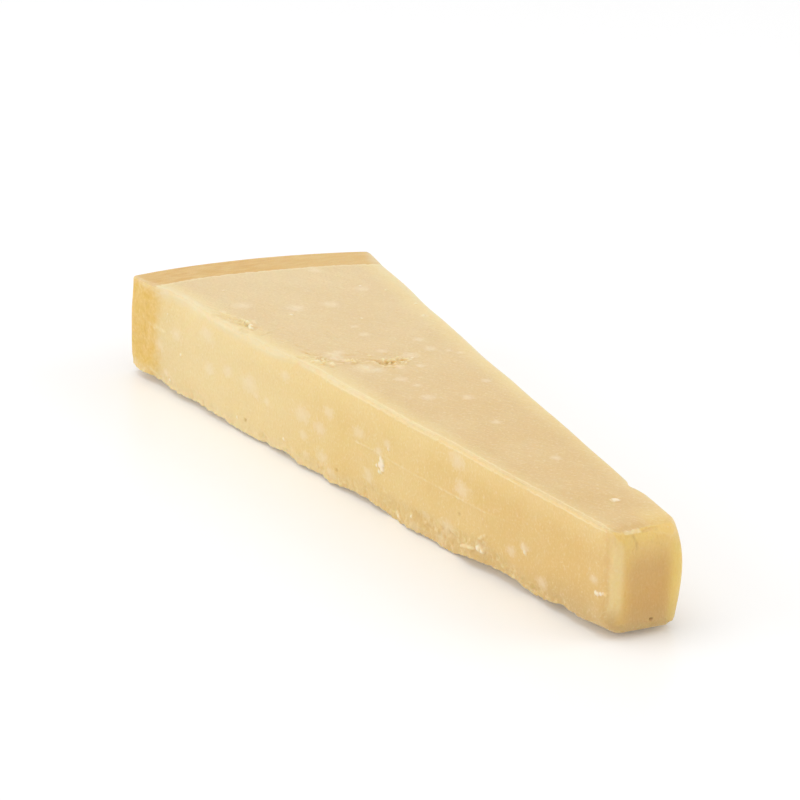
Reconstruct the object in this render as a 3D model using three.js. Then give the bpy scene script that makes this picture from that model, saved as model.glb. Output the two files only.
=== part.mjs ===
// A wedge of hard grating cheese: a slice of a wheel, split through its thickness, with a blunt tip.
// Millimetres. +X runs from the rind at the heel to the tip, +Z is up, and the origin is the centre
// of the footprint of the wedge's bounding box, on the surface it rests on.
import * as THREE from 'three';
import { mergeVertices } from 'three/addons/utils/BufferGeometryUtils.js';
import { ImprovedNoise } from 'three/addons/math/ImprovedNoise.js';

const { clamp, lerp, smoothstep } = THREE.MathUtils;

// The block that the wedge is cut to, before its faces are made uneven
const LENGTH = 203;
const HEEL_WIDTH = 65.4;
const TIP_WIDTH = 15.8;
const THICKNESS = 26.8;

// The heel follows the rim of the wheel, and its -Y corner lies further back than its +Y corner
const HEEL_SAGITTA = 4.2;
const HEEL_SKEW = 7.3;

// The rind is a band along the heel, where the top falls away a little
const RIND_DEPTH = 11;
const RIND_DROP = 0.4;

// Edges are softly rounded, most of all round the blunt tip
const EDGE_RADIUS = 1.3;
const TIP_RADIUS = 2.8;
const TIP_ROUNDING_STARTS = 80;
const TIP_ROUNDING_ENDS = 95;

// The block is divided into this many strips along, across and up it, with two round each edge
const STRIPS_ALONG = 84;
const STRIPS_ACROSS = 20;
const STRIPS_UP = 10;
const STRIPS_ROUND_AN_EDGE = 2;

// Slow swells of the cut faces: height, and length from one to the next
const TOP_SWELL = { height: 0.35, spacing: 26, seed: 3.7 };
const SIDE_SWELL = { height: 0.7, spacing: 21, seed: 11.3 };

// The upper edge of the -Y face is worn back in two places: middle, half-length and depth
const WORN_EDGE = [
  { x: -80, reach: 17, depth: 1.9 },
  { x: -22, reach: 15, depth: 1.2 },
];

// Pieces torn out of the top: a crag in the middle and a chip at its -Y edge. A flake stands up
// beside the crag, as a depth below nothing.
const TORN_TOP = [
  { x: -19.5, y: -1.2, reachX: 4.2, reachY: 8.5, depth: 1.4 },
  { x: -56, y: -24, reachX: 5.5, reachY: 3.2, depth: 1.2 },
  { x: -14, y: -1.5, reachX: 3.2, reachY: 7, depth: -0.5 },
];
const TORN_GRAIN = { height: 0.5, spacing: 3, seed: 5.1 };

// Before the tip the +Y face has a notch, and then swells out in a stub
const NOTCH = { x: 77.5, reach: 3.4, depth: 1.1 };
const STUB = { starts: 78, ends: 88, bulge: 3.2, shoulder: 1.5 };

// The underside is a broken face. It rests on its flat middle, and rises at the heel and the tip.
const HEEL_RISE = { starts: -85, ends: -105, height: 1.1 };
const TIP_RISE = { starts: 38, ends: 62, height: 1.8 };
const FLAT_SHARE_OF_WIDTH = 0.42;
const BROKEN_EDGE_RISE = 1.0;
const BREAKAGE = { height: 1.3, spacing: 8, seed: 21.9 };
const BREAKAGE_IN_SIDES = 0.8;

// Lumps that hang lower along the underside's -Y edge: middle, half-length and depth. Where a
// piece is gone the depth is negative.
const HANGING_LUMPS = [
  { x: -53, reach: 9, depth: 0.6 },
  { x: -14, reach: 6, depth: 0.6 },
  { x: 26, reach: 16, depth: 1.4 },
  { x: 59, reach: 10, depth: -1.0 },
  { x: 73, reach: 6, depth: 0.8 },
  { x: 99, reach: 12, depth: 0.8 },
];

const CHEESE_COLOUR = 0xebd49b;
const CHEESE_ROUGHNESS = 0.55;

const perlin = new ImprovedNoise();

// A smooth uneven height at a place, between minus and plus the height
function uneven(kind, x, y) {
  return kind.height * perlin.noise(x / kind.spacing, y / kind.spacing, kind.seed);
}

// One in the middle of a feature, falling smoothly to nothing at its reach
function hump(distance) {
  return 1 - smoothstep(Math.abs(distance), 0, 1);
}

function totalOf(features, share) {
  return features.reduce((sum, feature) => sum + feature.depth * share(feature), 0);
}

function halfWidth(x) {
  return lerp(HEEL_WIDTH, TIP_WIDTH, clamp(x / LENGTH + 0.5, 0, 1)) / 2;
}

function edgeRadius(x) {
  return lerp(EDGE_RADIUS, TIP_RADIUS, smoothstep(x, TIP_ROUNDING_STARTS, TIP_ROUNDING_ENDS));
}

// Where a grid line lies across the block: a few lines turn round each edge at even angles,
// and the others divide the flat between them evenly
function gridLine(t, strips, half, radius) {
  const stepsIn = Math.round((1 - Math.abs(t)) * strips / 2);
  if (stepsIn < STRIPS_ROUND_AN_EDGE) {
    const angle = (1 - stepsIn / STRIPS_ROUND_AN_EDGE) * Math.PI / 4;
    return Math.sign(t) * (half - radius + radius * Math.tan(angle));
  }
  const flatShare = 1 - 2 * STRIPS_ROUND_AN_EDGE / strips;
  return t / flatShare * (half - radius);
}

// Moves a point near an edge or corner of a box in onto its rounding
function rounded(point, half, radius) {
  const core = half.clone().subScalar(radius);
  const inner = point.clone().clamp(core.clone().negate(), core);
  return point.sub(inner).setLength(radius).add(inner);
}

// How far the curved, skewed heel lies from the square end of the block
function heelOffset(y) {
  const across = 2 * y / HEEL_WIDTH;
  return HEEL_SKEW / 2 * across - HEEL_SAGITTA * (1 - across * across);
}

// How far the -Y face stands out, at a share of the height
function frontFace(x, up) {
  const worn = totalOf(WORN_EDGE, (dent) => hump((x - dent.x) / dent.reach));
  const broken = uneven(BREAKAGE, x, 0) * BREAKAGE_IN_SIDES * (1 - smoothstep(up, 0, 0.35));
  return uneven(SIDE_SWELL, x, up * THICKNESS) - worn * smoothstep(up, 0.55, 1) + broken;
}

// How far the +Y face stands out, at a share of the height
function backFace(x, up) {
  const notch = NOTCH.depth * hump((x - NOTCH.x) / NOTCH.reach);
  const belly = STUB.shoulder + (STUB.bulge - STUB.shoulder) * Math.sin(Math.PI * clamp(up, 0, 1));
  const stub = belly * smoothstep(x, STUB.starts, STUB.ends);
  const broken = uneven(BREAKAGE, x, HEEL_WIDTH) * BREAKAGE_IN_SIDES * (1 - smoothstep(up, 0, 0.35));
  return uneven(SIDE_SWELL, x, LENGTH + up * THICKNESS) * 0.6 - notch + stub + broken;
}

function topHeight(x, y) {
  const fromHeel = x + LENGTH / 2 - heelOffset(y);
  const rindDrop = RIND_DROP * clamp(1 - fromHeel / RIND_DEPTH, 0, 1);
  const torn = totalOf(TORN_TOP, (hollow) => {
    return hump(Math.hypot((x - hollow.x) / hollow.reachX, (y - hollow.y) / hollow.reachY));
  });
  return THICKNESS + uneven(TOP_SWELL, x, y) - rindDrop - torn * (1 + uneven(TORN_GRAIN, x, y));
}

function undersideHeight(x, y) {
  const outward = smoothstep(Math.abs(y) / halfWidth(x), FLAT_SHARE_OF_WIDTH, 1);
  const heelward = smoothstep(-x, -HEEL_RISE.starts, -HEEL_RISE.ends);
  const tipward = smoothstep(x, TIP_RISE.starts, TIP_RISE.ends);
  const lumps = y < 0 ? totalOf(HANGING_LUMPS, (lump) => hump((x - lump.x) / lump.reach)) : 0;
  const edgeRise = BROKEN_EDGE_RISE * outward * (1 - tipward);
  const rise = HEEL_RISE.height * heelward + TIP_RISE.height * tipward + edgeRise;
  const breakage = uneven(BREAKAGE, x, y) * Math.max(outward, heelward, tipward);
  return Math.max(0, rise + breakage - lumps * outward);
}

// The place on the finished wedge of a grid point of the block, which runs from -1 to 1 each way
function wedgePoint(along, across, up) {
  const x = gridLine(along, STRIPS_ALONG, LENGTH / 2, along < 0 ? EDGE_RADIUS : TIP_RADIUS);
  const radius = edgeRadius(x);
  const half = new THREE.Vector3(LENGTH / 2, halfWidth(x), THICKNESS / 2);
  const y = gridLine(across, STRIPS_ACROSS, half.y, radius);
  const z = gridLine(up, STRIPS_UP, half.z, radius);
  const point = rounded(new THREE.Vector3(x, y, z), half, radius);
  const height = point.z / THICKNESS + 0.5;
  const face = point.y < 0 ? -frontFace(point.x, height) : backFace(point.x, height);
  point.x += heelOffset(point.y) * (0.5 - point.x / LENGTH);
  point.y += face * Math.abs(point.y) / half.y;
  point.z = lerp(undersideHeight(point.x, point.y), topHeight(point.x, point.y), height);
  return point;
}

function makeWedgeGeometry() {
  const block = new THREE.BoxGeometry(2, 2, 2, STRIPS_ALONG, STRIPS_ACROSS, STRIPS_UP);
  block.deleteAttribute('normal');
  block.deleteAttribute('uv');
  const geometry = mergeVertices(block);
  const positions = geometry.getAttribute('position');
  for (let i = 0; i < positions.count; i += 1) {
    const point = wedgePoint(positions.getX(i), positions.getY(i), positions.getZ(i));
    positions.setXYZ(i, point.x, point.y, point.z);
  }
  geometry.computeBoundingBox();
  const middle = geometry.boundingBox.getCenter(new THREE.Vector3());
  geometry.translate(-middle.x, -middle.y, -geometry.boundingBox.min.z);
  geometry.computeVertexNormals();
  return geometry;
}

function makeWedge() {
  const material = new THREE.MeshStandardMaterial({
    color: CHEESE_COLOUR,
    roughness: CHEESE_ROUGHNESS,
    metalness: 0,
  });
  const wedge = new THREE.Mesh(makeWedgeGeometry(), material);
  wedge.name = 'cheese_wedge';
  return wedge;
}

const chunk = new THREE.Group();
chunk.add(makeWedge());

export default chunk;
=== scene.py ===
"""A wedge-shaped chunk of hard grating cheese, lying on a pale studio floor.

The chunk is sawn as a block, softened at its edges, bent to the rim of the wheel, and then worn, broken
and torn. Its marks are painted on its points, and the cheese's material colours them.
Lengths are in metres: MM turns the millimetres of the named sizes into metres. +X runs from the rind at
the heel to the tip, and +Z is up.
"""

import math
from functools import reduce

import bpy
import numpy as np
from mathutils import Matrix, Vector, noise


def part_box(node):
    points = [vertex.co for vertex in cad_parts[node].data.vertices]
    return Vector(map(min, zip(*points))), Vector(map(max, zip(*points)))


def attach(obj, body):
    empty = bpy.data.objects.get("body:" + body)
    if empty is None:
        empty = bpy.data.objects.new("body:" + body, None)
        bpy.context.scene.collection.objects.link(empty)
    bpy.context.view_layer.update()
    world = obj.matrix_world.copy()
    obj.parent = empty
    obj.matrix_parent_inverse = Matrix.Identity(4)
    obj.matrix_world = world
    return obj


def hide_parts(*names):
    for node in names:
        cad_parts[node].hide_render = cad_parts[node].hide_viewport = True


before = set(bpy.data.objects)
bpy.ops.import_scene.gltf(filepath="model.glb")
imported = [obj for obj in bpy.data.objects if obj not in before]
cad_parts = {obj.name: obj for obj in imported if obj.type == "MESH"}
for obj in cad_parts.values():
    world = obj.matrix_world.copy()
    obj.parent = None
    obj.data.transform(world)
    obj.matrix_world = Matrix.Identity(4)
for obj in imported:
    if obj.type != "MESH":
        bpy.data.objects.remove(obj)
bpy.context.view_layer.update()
NODE = "cheese_wedge"

MM = 0.001

# Further than anything on the chunk lies from anything else
FAR = 1.0


def millimetres(numbers):
    """Places and sizes written in millimetres, as lengths in metres."""
    return np.array(numbers) * MM


def profile(*steps):
    """A size that changes along the chunk, from pairs of an x and the size there, in millimetres."""
    return millimetres(steps).T


def mark(half_width, height, *path):
    """A mark along a path: the path, its half-width and its height, all from millimetres."""
    return millimetres(path), half_width * MM, height * MM


# The block that the wedge is cut to. Its tip is where the frame has it.
LENGTH = 203 * MM
HEEL_WIDTH = 65.4 * MM
TIP_WIDTH = 15.8 * MM
THICKNESS = 26.8 * MM
TIP_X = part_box(NODE)[1].x
HEEL_X = TIP_X - LENGTH
MIDDLE_X = (HEEL_X + TIP_X) / 2

# The heel follows the rim of the wheel, skewed so that its -Y corner lies further back
HEEL_SAGITTA = 4.2 * MM
HEEL_SKEW = 7.3 * MM
RIM_CHORD = math.hypot(HEEL_WIDTH, HEEL_SKEW)
RIM_RADIUS = RIM_CHORD ** 2 / (8 * HEEL_SAGITTA) + HEEL_SAGITTA / 2
RIM_CENTRE = (
    HEEL_X + HEEL_WIDTH / RIM_CHORD * (RIM_RADIUS - HEEL_SAGITTA),
    -HEEL_SKEW / RIM_CHORD * (RIM_RADIUS - HEEL_SAGITTA),
)

# The heel leans in as it rises, along this arc, most at two thirds of its height and at its -Y end
HEEL_LEAN = 1.4 * MM
HEEL_LEAN_ARC = 0.75 * math.pi

# The rind is a band along the heel, where the top falls away a little
RIND_DEPTH = 12.5 * MM
RIND_DROP = 0.4 * MM

# How far the edges are rounded. The upper -Y edge is worn rounder, from the rind to just past the middle.
EDGE_RADIUS = 0.9 * MM
BROKEN_EDGE_RADIUS = 0.6 * MM
BACK_CORNER_RADIUS = 4.0 * MM
TIP_RADIUS = 4.2 * MM
EDGE_SEGMENTS = 5
WORN_RADIUS, WORN_UNTIL = 2.2 * MM, 10 * MM

# The tip's lower edges are rounded off more, from here on: the -Y one and the +Y one
LOWER_CORNER_STARTS, LOWER_CORNER_ENDS = 90 * MM, 99 * MM
LOWER_CORNER_RADII = (1.8 * MM, 0.7 * MM)

# How finely the faces are divided, first evenly and then near what is small
CUTS_ALONG = 95
CUTS_ALONG_AGAIN = 1
CUTS_ACROSS = 59
CUTS_UP = 23
FINE_EDGE, FINEST_EDGE = 0.7 * MM, 0.35 * MM

# Slow swells of the cut faces: height, length from one to the next, and the seed of the draw. The +Y
# face has only a share of the sides' swell.
TOP_SWELL = (0.35 * MM, 26 * MM, 3.7)
SIDE_SWELL = (0.7 * MM, 21 * MM, 11.3)
SHARE_OF_SWELL_BEHIND = 0.6

# The upper edge of the -Y face is worn back, from this share of the height up: middle, half-length and
# depth of each dent
WORN_FROM = 0.55
WORN_EDGE = [
    (-104 * MM, 16 * MM, 0.9 * MM),
    (-77.5 * MM, 17 * MM, 1.9 * MM),
    (-19.5 * MM, 15 * MM, 1.2 * MM),
]

# Before the tip the +Y face has a notch, and then swells out in a stub, which draws in again at its top
# and, below this share of the height, at its foot
NOTCH_X, NOTCH_REACH, NOTCH_DEPTH = 80 * MM, 3.4 * MM, 0.65 * MM
STUB_STARTS, STUB_ENDS = 80 * MM, 87 * MM
STUB_SHOULDER, STUB_BULGE, STUB_TUCK, STUB_UNDERCUT = 2.7 * MM, 4.0 * MM, 2.0 * MM, 0.4 * MM
STUB_FOOT = 0.7

# The rest of the +Y face is a little hollow: x, and how deep it is there
BACK_HOLLOW = profile(
    (-100, 0.2), (-92, 0.5), (-86, 0.75), (-78, 0.5), (-70, 0.4), (-40, 0.4), (-30, 0.75), (15, 0.65),
    (35, 0),
)

# The underside is a broken face that rests on its flat middle and rises at the heel and the tip, where
# it drops again at the very end and is smoother. The breakage reaches this share of the height up a side.
HEEL_RISE_STARTS, HEEL_RISE_ENDS, HEEL_RISE = -82.5 * MM, -102.5 * MM, 1.1 * MM
TIP_RISE_STARTS, TIP_RISE_ENDS, TIP_RISE = 40.5 * MM, 64.5 * MM, 1.8 * MM
TIP_DROP_STARTS, TIP_DROP_ENDS, TIP_DROP = 88 * MM, 100 * MM, 1.3 * MM
SMOOTHER_AT_TIP_BY = 0.7
FLAT_SHARE_OF_WIDTH = 0.42
BROKEN_EDGE_RISE = 1.0 * MM
BREAKAGE = (1.3 * MM, 8 * MM, 21.9)
BREAKAGE_IN_SIDES = 0.8
BREAKAGE_SHARE_OF_HEIGHT = 0.35

# How high the underside's broken -Y edge stands above the floor: x, and the height there. Where that is
# below nothing, the edge is later set down flat.
LOWER_EDGE = profile(
    (-103, 1.6), (-97, 1.7), (-92, 2.0), (-84, 1.2), (-57.5, 1.0), (-53.5, 0.4), (-45, 0.5), (-36, 0.5),
    (-31, 1.2), (-24, 0.6), (-13, 0.5), (-8.5, 0.3), (-6.5, 0.8), (4, 1.1), (13, 0.9), (15.5, -0.3),
    (18, -0.5), (21, -0.3), (26, 0.4), (38, 0.3), (43, 0), (50, 1.9), (60, 1.9), (68, 2.1), (74, 0.5),
    (79, 1.3), (86, 2.5), (93, 1.8), (100, 2.6), (106, 1.4),
)

# The crumbly broken skin of the underside reaches up the sides: x, and how high it reaches there before
# it fades. Its lumps are coarse and fine.
CRUMBLE_REACH = profile((-100, 1.5), (0, 2), (14, 5), (56, 5), (66, 2.5), (88, 0.5), (96, -2))
CRUMBLE_FADE = 2.5 * MM
CRUMBLE_COARSE = (0.55 * MM, 3.4 * MM, 41.3)
CRUMBLE_FINE = (0.30 * MM, 1.3 * MM, 7.7)
LUMP_OCTAVES = 2

# A mark's outline wanders, a crumb's and a ridge's by a share of that, and a mark's relief is uneven
MARK_WANDER = (0.7 * MM, 1.2 * MM, 63.1)
CRUMBS_WANDER_BY, RIDGES_WANDER_BY = 1 / 3, 1 / 2
MARK_SIZE = 1.4 * MM
MARK_GRAIN = (0.8, 0.8 * MM, 12.9)

# What is torn out of the top or stands up on it, along paths of (x, y): the crag, the creases and flakes
# that lead to it, and the chip by the -Y edge
TORN_TOP = [
    mark(1.1, -0.55, (-17.8, -5.1), (-16, -4.8), (-14.3, -4.4)),
    mark(0.9, -0.35, (-15.7, -3.1), (-15.1, -2.5)),
    mark(1.1, -0.5, (-14.7, -1.6), (-14.7, -0.5), (-15.3, 0.7)),
    mark(0.5, -0.3, (-13.8, -3.7), (-13, -2.8)),
    mark(0.4, -0.25, (-11.5, -3.4), (-11.4, -3.1)),
    mark(0.4, -0.2, (-20.5, -7.9), (-19.1, -6.5), (-17.4, -5.2)),
    mark(0.45, 0.35, (-17.7, -3.1), (-15.7, -3.9)),
    mark(0.5, 0.35, (-15.6, -1.9), (-16.9, -0.2), (-17.2, 1)),
    mark(0.4, 0.2, (-16.6, 1.3), (-14.8, 0.9), (-13.4, -0.4)),
    mark(0.5, 0.35, (-16.3, 2.2), (-15.4, 2.3)),
    mark(0.4, 0.25, (-12.8, 0.3), (-12.9, 0.8)),
    mark(0.5, 0.25, (-17.3, -6), (-15.3, -5.7), (-12.8, -5.3), (-12.6, -4.1), (-12.1, -2.4), (-11.2, -0.7)),
    mark(0.5, 0.25, (-21.4, -5.2), (-20.9, -5)),
    mark(0.9, 0.15, (-15.6, -10.2), (-13.2, -10), (-11.2, -9.1)),
    mark(0.7, 0.15, (-17.3, -8.7), (-17.6, -6.7), (-16.5, -5.9)),
    mark(1.4, -0.1, (-20.4, -1.1), (-19.1, 2)),
    mark(1.2, -0.06, (-8.8, -5.2), (-5.6, -3)),
    mark(0.9, 0.15, (-27, -14), (-25, -13), (-23.1, -12.1)),
    mark(0.7, 0.18, (-21.3, -12.7), (-20.5, -11.5), (-19.6, -10.3), (-18.8, -9.4)),
    mark(1, -0.12, (-24, -10.5), (-23.2, -8.7)),
    mark(0.45, -0.2, (-23, -15.7), (-20.7, -13.9), (-18.7, -12.9), (-16.9, -11.1)),
    mark(0.7, 0.35, (-19.8, -16.6), (-18.2, -16.4)),
    mark(0.35, -0.15, (-17.3, -17.7), (-17.1, -16.7)),
    mark(0.6, 0.25, (-18.8, -15), (-18.4, -14.2)),
    mark(0.4, -0.2, (-20.5, -14.5), (-19.1, -13)),
    mark(0.5, 0.25, (-27.4, -20.6), (-27.1, -19.9)),
    mark(0.6, 0.15, (-26.7, -19.8), (-26.1, -18.5)),
    mark(0.5, -0.2, (-30.3, -18.9), (-28.8, -18.2), (-26.7, -17.9)),
    mark(0.4, -0.15, (-27.5, -21.6), (-26, -21.5), (-25.7, -20.7)),
    mark(0.8, 0.35, (-22.4, -19.8), (-22.7, -18.8), (-21.5, -18.6)),
    mark(0.4, -0.2, (-24, -18.1), (-22.5, -17.8)),
    mark(0.6, 0.15, (-21.7, -18.2), (-20.9, -17.3)),
    mark(0.35, -0.15, (-20.1, -19), (-19.3, -17.8)),
    mark(0.5, 0.1, (-18.8, -19.7), (-18.7, -18.6)),
    mark(1.3, -0.1, (-27.2, -17.1), (-26.4, -16.2)),
    mark(0.6, -0.1, (-35.5, -18), (-32.8, -17.4), (-30.3, -17)),
    mark(0.6, -0.07, (-40.8, -7.4), (-34.4, -7.8), (-29.5, -7.5), (-26.9, -6.9), (-22.3, -5.4)),
    mark(0.6, -0.06, (-45.9, -6), (-40.3, -6.3), (-36.2, -6.1)),
    mark(0.9, -0.14, (-64.2, -27), (-62.6, -26.1), (-59.6, -25.9), (-57.2, -25.1), (-54.3, -24.2)),
    mark(0.6, 0.12, (-67.6, -26.2), (-65.8, -24.9), (-62.9, -24), (-60.4, -23), (-58.1, -22.4)),
    mark(0.4, -0.14, (-62.1, -25), (-59.3, -24.3), (-57.1, -22.9)),
    mark(0.8, 0.1, (-63.6, -28.7), (-61.3, -28.1), (-58.5, -27.2), (-54.6, -26.8), (-52.5, -25.7)),
    mark(0.5, -0.35, (-54, -22.5), (-52.2, -22.9)),
    mark(0.5, -0.2, (-54.9, -23.7), (-53.2, -23.4)),
    mark(0.9, -0.15, (-51.5, -25.3), (-49.4, -25.2)),
    mark(0.8, -0.18, (-49.7, -23), (-51.4, -21.2)),
    mark(0.5, 0.25, (-57.6, -22.1), (-55.4, -21.8)),
    mark(1, 0.2, (-55.9, -20.2), (-53.6, -20.5)),
    mark(0.5, -0.1, (-46.2, -23.4), (-45.6, -21.8), (-46.6, -19.4), (-47.7, -17.2), (-48.4, -15)),
    mark(0.6, 0.1, (-47.8, -21.3), (-47.3, -20.2)),
    mark(0.4, -0.1, (102.9, 0), (102.6, 1.8), (102.7, 3.8)),
    mark(0.4, 0.12, (99.6, -8.2), (100.8, -7.9), (102.3, -6.8), (102.7, -5.2), (102.7, -3.9), (102.6, -2.4)),
    mark(0.8, 0.25, (102.8, -4.1), (103, -2.6), (102.7, -1.1)),
]

# The same for the -Y face, along paths of (x, z): the saw's thin line, flakes and the smallest pits
TORN_FRONT = [
    mark(0.4, 0.15, (2, 14.9), (8.4, 14.9), (18.5, 14.8), (31.7, 14.8), (43.1, 14.9), (56, 15.2)),
    mark(0.35, 0.08, (56, 15.2), (68, 16.1)),
    mark(0.9, 0.15, (-91.4, 16.4), (-88.5, 16.5), (-84.7, 16.2)),
    mark(0.5, 0.08, (-95.4, 18.2), (-93.9, 16.8), (-92.6, 16.6)),
    mark(0.8, 0.3, (19.5, 2.4), (20.4, 1.4)),
    mark(0.7, 0.15, (26.3, 4.4), (27.1, 4)),
    mark(1.1, -0.15, (28.1, 5.5), (29.8, 4.6)),
    mark(0.5, 0.3, (46.5, 3.6), (49, 4.4), (52, 5)),
    mark(1, 0.35, (53.2, 5.5), (55.6, 5.1)),
    mark(0.6, 0.25, (53.9, 7.9), (56.1, 9.5)),
    mark(0.8, 0.2, (70.5, 12), (71.3, 10.6)),
    mark(0.5, -0.3, (45.6, 11.1), (45.8, 11.1)),
    mark(0.6, -0.3, (-47.3, 4.3), (-47.1, 4.3)),
    mark(0.5, -0.3, (-5.8, 4.9), (-5.6, 4.9)),
]

# The same for the tip's face, along paths of (y, z): the creases at its top and a pit low down
TORN_TIP = [
    mark(0.5, -0.08, (-2.6, 24.8), (-2.3, 24), (-1.9, 22.8), (-1.9, 21.8)),
    mark(0.5, 0.1, (3.5, 24.8), (5.5, 24.3), (7.4, 23.4)),
    mark(0.55, -0.4, (2.6, 4.3), (2.8, 4.3)),
]

# Shade is painted into the torn places, darkest from this depth on, and a highlight onto what stands up,
# palest from this height on
SHADE_DARKEST_DEPTH = 0.6 * MM
HIGHLIGHT_PALEST_HEIGHT = 0.35 * MM

# Broken ground round the crag, its creases and the chip: (x, y), reach along x and along y, and height.
# Lumps above this level stand up and the rest lies low.
BROKEN_GROUND = millimetres([
    (-15.2, -1.6, 3.6, 7.0, 1.6), (-23.0, -17.5, 7.0, 3.5, 1.2), (-19.4, -10.8, 3.5, 3.5, 1.2),
    (-54.8, -22.6, 4.0, 2.4, 1.0),
])
GROUND_LUMPS = (1.0, 1.0 * MM, 33.7)
GROUND_LEVEL = 0.35
GROUND_SHOWS_FROM = 0.2 * MM

# Two fine ridges run along the rounding of the upper -Y edge, one on each side of it. They rise between
# these two places and run on to the tip.
EDGE_RIDGES_START, EDGE_RIDGES_RISEN = -35 * MM, -10 * MM
EDGE_RIDGE_HEIGHT = 0.12 * MM
EDGE_RIDGE_REACH = 0.35 * MM
EDGE_RIDGE_PLACE = 0.95 * MM

# Pale spots in the cheese on the top, as (x, y, radius), and on the -Y face, as (x, z, radius). Those on
# the -Y face are drawn out along it.
TOP_SPOTS = millimetres([
    (-60.7, -5.7, 2.0), (-67.4, -17.5, 2.1), (-60.2, 3.6, 1.9), (-68.3, 16.8, 1.5), (-86.0, 12.1, 1.5),
    (-36.3, 1.2, 1.3), (-25.4, -12.9, 1.7), (-13.2, -10.0, 2.4), (-11.6, -8.0, 1.6), (-18.7, 5.0, 1.3),
    (-20.7, 11.4, 1.3), (-17.6, 15.0, 0.8), (-15.3, 16.9, 0.9), (-27.7, 12.0, 1.2), (-42.6, 1.8, 0.9),
    (-23.4, -0.7, 1.1), (-11.2, -1.8, 1.2), (-3.5, -5.5, 1.4), (1.8, -3.9, 0.9), (10.3, -5.3, 1.5),
    (14.0, 3.5, 1.4), (31.8, 1.5, 1.2), (-22.4, -18.3, 0.9), (-43.4, 21.6, 1.0), (-64.9, -24.0, 0.8),
    (58.0, 3.0, 1.2), (5.8, 12.8, 1.1), (-18.1, 4.5, 1.8), (-22.8, -13.8, 1.6), (-19.8, -12.0, 1.4),
    (-10.1, 3.4, 1.0), (-26.5, -11.0, 1.3),
])
FRONT_SPOTS = millimetres([
    (-46.1, 14.2, 2.0), (-21.4, 14.2, 1.9), (-55.8, 14.6, 1.3), (-65.8, 21.0, 1.8), (-37.9, 12.1, 0.9),
    (-20.8, 9.0, 1.1), (-13.9, 13.0, 1.5), (-10.6, 18.2, 1.3), (2.8, 17.2, 1.4), (-19.7, 4.4, 1.0),
    (-8.3, 3.4, 1.1), (-12.3, 6.0, 1.6), (-84.5, 5.1, 0.9), (-79.4, 16.9, 1.2), (-88.0, 11.8, 1.5),
    (7.5, 7.0, 1.0), (27.9, 2.0, 1.3), (40.7, 5.9, 1.8), (38.1, 2.2, 1.3), (31.7, 6.0, 0.9),
    (46.1, 17.4, 1.8), (43.4, 23.6, 1.9), (77.8, 5.3, 1.3), (97.3, 13.2, 0.9), (54.6, 5.6, 1.5),
    (-43.3, 12.2, 0.8), (11.3, 15.4, 0.9), (-64.0, 12.5, 1.3), (-29.5, 21.5, 1.2), (66.0, 9.0, 1.1),
    (14.6, 18.2, 1.0), (3.4, 17.3, 1.3), (7.2, 8.4, 1.2), (70.8, 11.6, 1.0),
])
FRONT_SPOT_STRETCH = 1.5

# Spots are drawn at random on the faces that the camera doesn't see
HIDDEN_SPOTS = 34
HIDDEN_SPOT_RADII = (0.8 * MM, 2.0 * MM)
HIDDEN_SPOTS_SEED = 5

# White crumbs that stand a little proud, as (x, y, radius) on the top and (x, z, radius) on the -Y face
TOP_CRUMBS = millimetres([
    (-54.9, -21.6, 0.6), (-53.0, -22.1, 0.7), (-51.3, -22.9, 0.6), (-19.0, -16.3, 0.4), (-22.6, -19.0, 0.4),
    (-14.0, -9.2, 0.3), (-16.2, 4.1, 0.35), (-15.0, 3.0, 0.3), (-13.2, 0.9, 0.3), (-14.6, 0.6, 0.3),
    (-56.3, -9.2, 0.45), (-43.5, 21.4, 0.35),
    (-70.0, 17.0, 0.35), (-47.5, 6.0, 0.3), (-79.8, -16.9, 0.35), (-64.7, 21.5, 0.3), (-52.5, 24.0, 0.4),
    (86.9, 2.1, 1.0),
])
FRONT_CRUMBS = millimetres([
    (12.5, 13.6, 0.7), (13.1, 12.7, 0.8), (13.0, 11.4, 0.8), (12.7, 10.6, 0.5), (10.9, 11.7, 0.5),
    (12.0, 10.5, 0.6), (12.2, 12.2, 0.8), (15.4, 17.2, 0.5), (53.6, 5.4, 0.6), (55.2, 5.2, 0.5),
    (98.4, 10.4, 0.5), (99.2, 10.3, 0.5), (100.1, 10.6, 0.4), (101.0, 11.0, 0.35), (71.3, 10.6, 0.4),
    (20.2, 1.9, 0.4), (26.8, 4.2, 0.3), (-29.6, 5.1, 0.35), (-82.5, 3.8, 0.4), (-50.9, 3.9, 0.35),
    (-76.9, 12.3, 0.35), (-84.4, 20.9, 0.3),
])
CRUMB_HEIGHT = 0.3 * MM

# A crumb rises from this far outside its outline to this far inside it
CRUMB_FOOT, CRUMB_SHOULDER = 0.2 * MM, 0.3 * MM

# Paler cheese with a painted highlight shows along the edges, as far in as this, and a fainter painted glow
# of light on the top beside its long edges
PALE_EDGE_REACH = profile((-98, 1.5), (-88, 4), (-60, 3.2), (-30, 2.2), (20, 1.7))
TOP_GLOW_REACH = profile((-20, 8), (80, 5))

# The camera looks at the chunk from beyond its tip and a little above
CAMERA_AZIMUTH = math.radians(62.18)
CAMERA_ELEVATION = math.radians(20)
CAMERA_ROLL = math.radians(1.67)
CAMERA_DISTANCE = 1.1
CAMERA_AIM = Vector((-5.8, -4.4, 20.5)) * MM
CAMERA_LENS = 204.84
CAMERA_SENSOR = 36

# The studio: the size of its floor, the brightness all round, and the softboxes, as place and power
FLOOR_SIZE = 12
DAYLIGHT = 0.735
SOFTBOX_SIZE = 1.0
SOFTBOXES = {
    "overhead": ((-0.2, -0.3, 1.2), 3.9),
    "side": ((-0.3, -1.2, 0.5), 3.9),
    "rim": ((0.5, 1.1, 0.7), 4),
}


# Shapes by formula


def smoothstep(value, low, high):
    share = np.clip((value - low) / (high - low), 0, 1)
    return share * share * (3 - 2 * share)


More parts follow.
